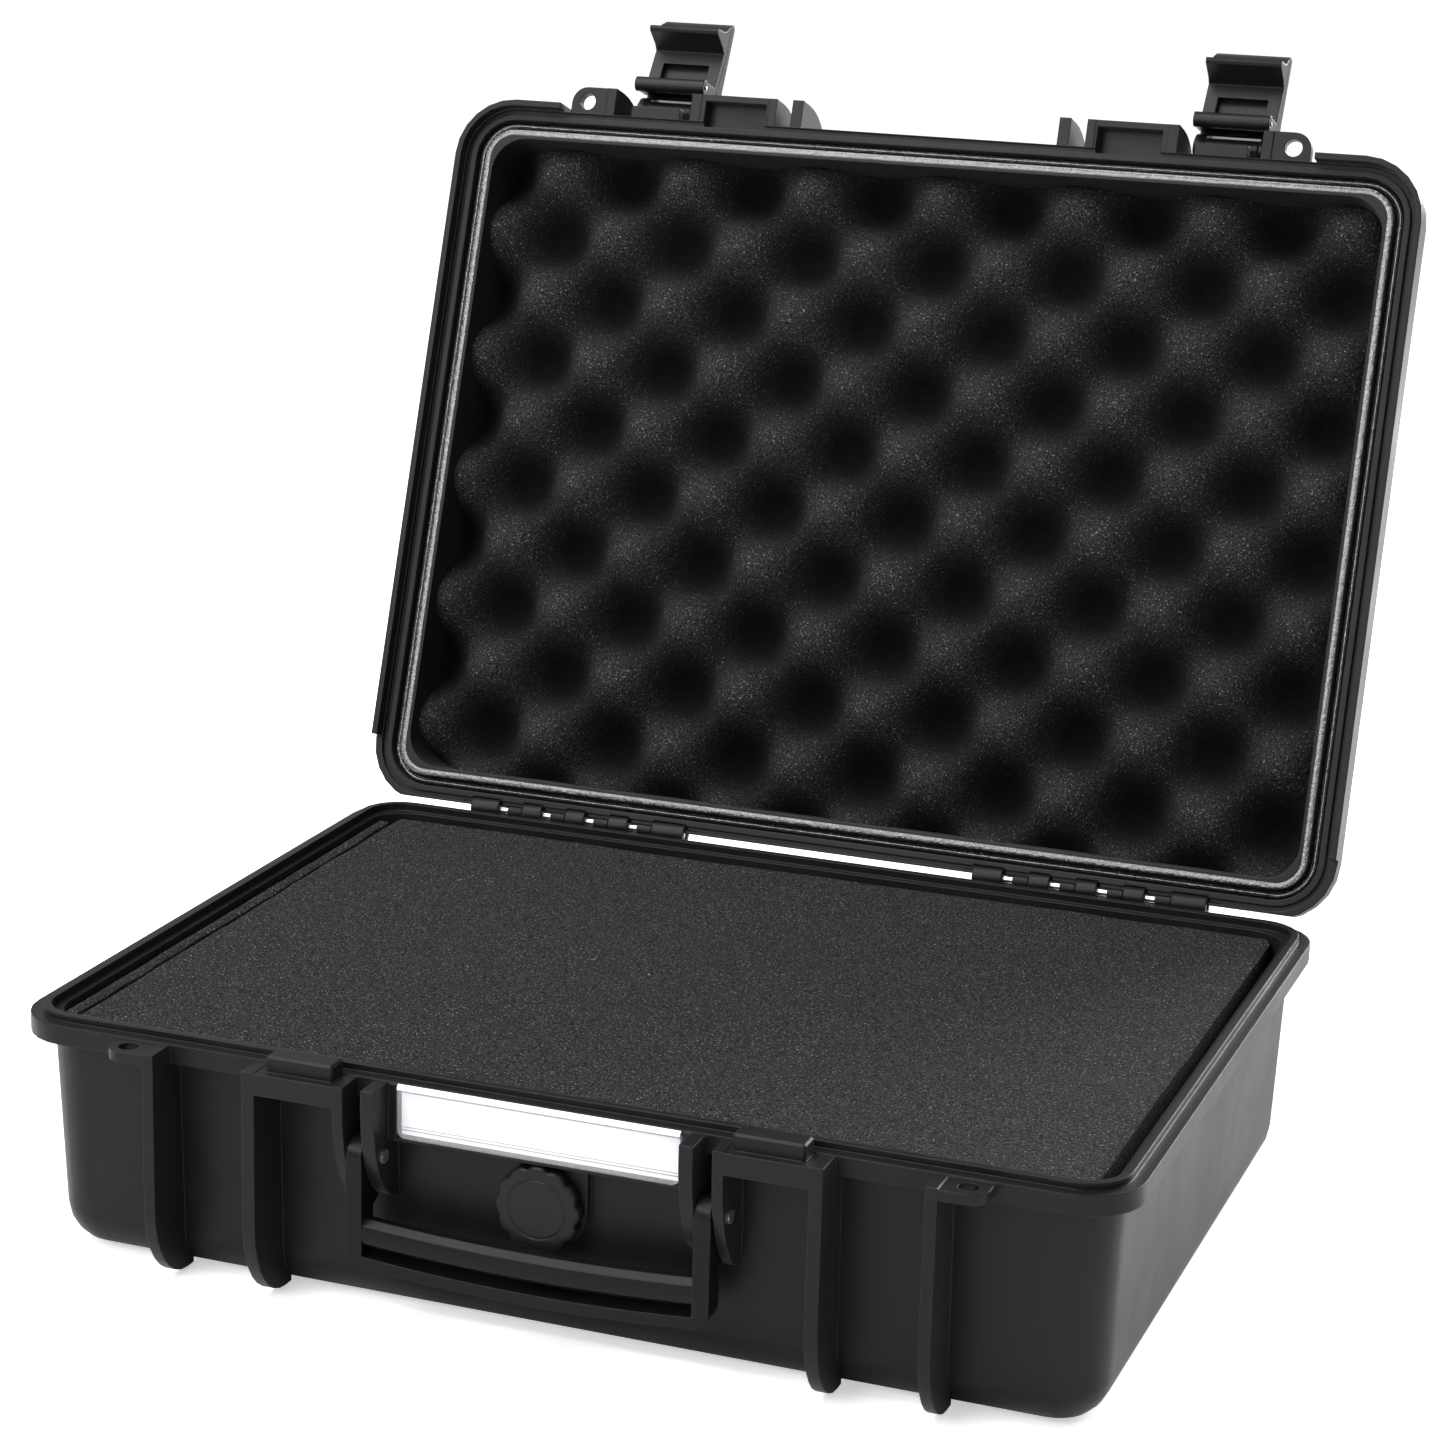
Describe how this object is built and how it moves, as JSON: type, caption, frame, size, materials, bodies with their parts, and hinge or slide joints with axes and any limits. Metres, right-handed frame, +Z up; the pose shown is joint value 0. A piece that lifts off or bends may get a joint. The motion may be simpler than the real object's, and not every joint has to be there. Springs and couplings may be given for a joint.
{
  "type": "hard equipment case",
  "caption": "Wide black moulded equipment case with a hinged lid, flip-up latches, a swing-down front handle, pressure valve, label window, gasket and foam inserts.",
  "frame": {"origin": "centre of the base's flat underside", "axes": "+Z up, -Y towards the latches, handle and label, +X to the right seen from the front"},
  "size_m": [0.417, 0.4652, 0.4123],
  "materials": {
    "case_plastic": "satin",
    "latch_plastic": "satin",
    "pin_steel": "satin",
    "seal_rubber": "gloss",
    "base_foam": "matte",
    "lid_foam": "matte",
    "label_card": "matte",
    "label_cover": "gloss"
  },
  "bodies": {
    "base": {"base_shell": "case_plastic", "label_card": "label_card", "label_cover": "label_cover", "left_handle_pin": "pin_steel", "right_handle_pin": "pin_steel", "left_hinge_pin": "pin_steel", "right_hinge_pin": "pin_steel", "valve_body": "latch_plastic", "valve_seal": "seal_rubber", "valve_nut": "latch_plastic", "base_foam_pluck": "base_foam", "base_foam_pad": "base_foam"},
    "lid": {"lid_shell": "case_plastic", "lid_gasket": "seal_rubber", "lid_foam": "lid_foam", "left_lever_pin": "pin_steel", "right_lever_pin": "pin_steel"},
    "left_lever": {"left_latch_lever": "latch_plastic", "left_claw_pin": "pin_steel"},
    "left_claw": {"left_latch_claw": "latch_plastic"},
    "right_lever": {"right_latch_lever": "latch_plastic", "right_claw_pin": "pin_steel"},
    "right_claw": {"right_latch_claw": "latch_plastic"},
    "handle": {"handle": "latch_plastic"},
    "knob": {"valve_knob": "latch_plastic"}
  },
  "joints": [
    {"name": "lid_hinge", "type": "hinge", "parent": "base", "child": "lid", "pos_m": [0, 0.1508, 0.0919], "axis": [1, 0, 0], "range_deg": [0, 109]},
    {"name": "left_lever", "type": "hinge", "parent": "lid", "child": "left_lever", "pos_m": [-0.12295, 0.27301, 0.37588], "axis": [1, 0, 0], "range_deg": [0, 106]},
    {"name": "left_claw", "type": "hinge", "parent": "left_lever", "child": "left_claw", "pos_m": [-0.12295, 0.26981, 0.38809], "axis": [-1, 0, 0], "range_deg": [-25, 0]},
    {"name": "right_lever", "type": "hinge", "parent": "lid", "child": "right_lever", "pos_m": [0.12295, 0.27301, 0.37588], "axis": [1, 0, 0], "range_deg": [0, 106]},
    {"name": "right_claw", "type": "hinge", "parent": "right_lever", "child": "right_claw", "pos_m": [0.12295, 0.26981, 0.38809], "axis": [-1, 0, 0], "range_deg": [-25, 0]},
    {"name": "handle_swing", "type": "hinge", "parent": "base", "child": "handle", "pos_m": [0, -0.1525, 0.0633], "axis": [1, 0, 0], "range_deg": [-90, 0]},
    {"name": "valve_knob_turn", "type": "hinge", "parent": "base", "child": "knob", "pos_m": [0, -0.1494, 0.052], "axis": [0, 1, 0], "range_deg": [0, 180]}
  ]
}
